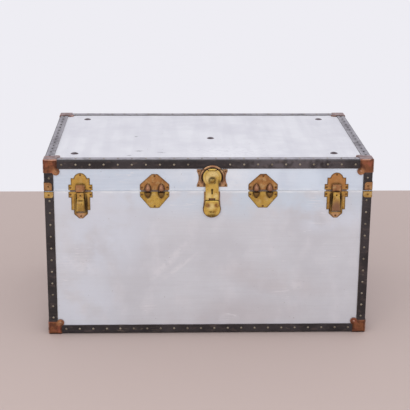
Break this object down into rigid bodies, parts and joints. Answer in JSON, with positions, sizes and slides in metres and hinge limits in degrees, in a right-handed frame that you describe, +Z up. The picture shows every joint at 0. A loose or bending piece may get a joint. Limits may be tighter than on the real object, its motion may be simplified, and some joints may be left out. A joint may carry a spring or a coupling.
{
  "type": "travel trunk",
  "caption": "Flat-topped travel trunk clad in aluminium sheet, with black fibre edge bindings, corner caps, brass draw bolts, dowel plates and a hasp lock; hinged lid, strap handles.",
  "frame": {"origin": "on the floor under the middle of the whole trunk, lid shut", "axes": "+X to the right seen from the front, +Y towards the hinges at the back, +Z up"},
  "size_m": [0.8746, 0.5479, 0.4782],
  "materials": {
    "plywood": "plain birch plywood",
    "aluminium_sheet": "worn, cloudy mill finish",
    "fibre_binding": "black vulcanised fibre, satin",
    "coppered_steel": "dull copper plate",
    "aged_brass": "aged brass with brown patches",
    "bright_brass": "rubbed brass",
    "nail_brass": "pale brass nail heads",
    "dark_steel": "dark domed studs",
    "rim_metal": "bright rolled strip",
    "fitting_steel": "brassed steel, worn",
    "pin_steel": "drawn steel wire",
    "leather": "dark brown strap leather"
  },
  "bodies": {
    "base": {"base_back_binding": "fibre_binding", "base_back_left_cap": "coppered_steel", "base_back_panel": "plywood", "base_back_right_cap": "coppered_steel", "base_back_sheet": "aluminium_sheet", "base_binding_nails": "nail_brass", "base_bottom_panel": "plywood", "base_bottom_sheet": "aluminium_sheet", "base_corner_bindings": "fibre_binding", "base_corner_clips": "aged_brass", "base_end_panels": "plywood", "base_end_sheets": "aluminium_sheet", "base_front_binding": "fibre_binding", "base_front_left_cap": "coppered_steel", "base_front_panel": "plywood", "base_front_right_cap": "coppered_steel", "base_front_sheet": "aluminium_sheet", "base_left_binding": "fibre_binding", "base_right_binding": "fibre_binding", "base_rim_strips": "rim_metal", "dowel_base_plates": "aged_brass", "handle_loops": "fitting_steel", "handle_straps": "leather", "hinge_base_leaves": "fitting_steel", "hinge_pins": "pin_steel", "latch_base_plates": "aged_brass", "latch_lever_pins": "pin_steel", "lock_base_plate": "aged_brass"},
    "lid": {"dowel_lid_plates": "aged_brass", "hinge_lid_leaves": "fitting_steel", "latch_lid_plates": "aged_brass", "lid_back_binding": "fibre_binding", "lid_back_left_cap": "coppered_steel", "lid_back_panel": "plywood", "lid_back_right_cap": "coppered_steel", "lid_back_sheet": "aluminium_sheet", "lid_binding_nails": "nail_brass", "lid_corner_bindings": "fibre_binding", "lid_corner_clips": "aged_brass", "lid_end_panels": "plywood", "lid_end_sheets": "aluminium_sheet", "lid_front_binding": "fibre_binding", "lid_front_left_cap": "coppered_steel", "lid_front_panel": "plywood", "lid_front_right_cap": "coppered_steel", "lid_front_sheet": "aluminium_sheet", "lid_left_binding": "fibre_binding", "lid_right_binding": "fibre_binding", "lid_studs": "dark_steel", "lid_top_panel": "plywood", "lid_top_sheet": "aluminium_sheet", "lock_hasp_pin": "pin_steel", "lock_lid_plate": "aged_brass"},
    "left_lever": {"left_latch_lever": "aged_brass"},
    "right_lever": {"right_latch_lever": "aged_brass"},
    "left_hook": {"left_latch_hook": "aged_brass"},
    "right_hook": {"right_latch_hook": "aged_brass"},
    "hasp": {"lock_hasp": "bright_brass"},
    "slide": {"lock_slide": "bright_brass"}
  },
  "joints": [
    {"name": "lid_hinge", "type": "hinge", "parent": "base", "child": "lid", "pos_m": [0, 0.26945, 0.3941], "axis": [-1, 0, 0], "range_deg": [0, 105]},
    {"name": "left_lever_turn", "type": "hinge", "parent": "base", "child": "left_lever", "pos_m": [-0.327, -0.26705, 0.3401], "axis": [1, 0, 0], "range_deg": [0, 140], "stiffness_Nm_per_rad": 0.06, "springref_deg": -28.65},
    {"name": "left_hook_turn", "type": "hinge", "parent": "left_lever", "child": "left_hook", "pos_m": [-0.327, -0.26655, 0.3844], "axis": [1, 0, 0], "range_deg": [0, 18]},
    {"name": "right_lever_turn", "type": "hinge", "parent": "base", "child": "right_lever", "pos_m": [0.327, -0.26705, 0.3401], "axis": [1, 0, 0], "range_deg": [0, 140], "stiffness_Nm_per_rad": 0.06, "springref_deg": -28.65},
    {"name": "right_hook_turn", "type": "hinge", "parent": "right_lever", "child": "right_hook", "pos_m": [0.327, -0.26655, 0.3844], "axis": [1, 0, 0], "range_deg": [0, 18]},
    {"name": "hasp_turn", "type": "hinge", "parent": "lid", "child": "hasp", "pos_m": [0.008, -0.2673, 0.4516], "axis": [-1, 0, 0], "range_deg": [0, 100]},
    {"name": "lock_slide_press", "type": "slide", "parent": "base", "child": "slide", "axis": [0, 0, -1], "range_m": [0, 0.008], "stiffness_N_per_m": 400, "springref_m": -0.004}
  ]
}
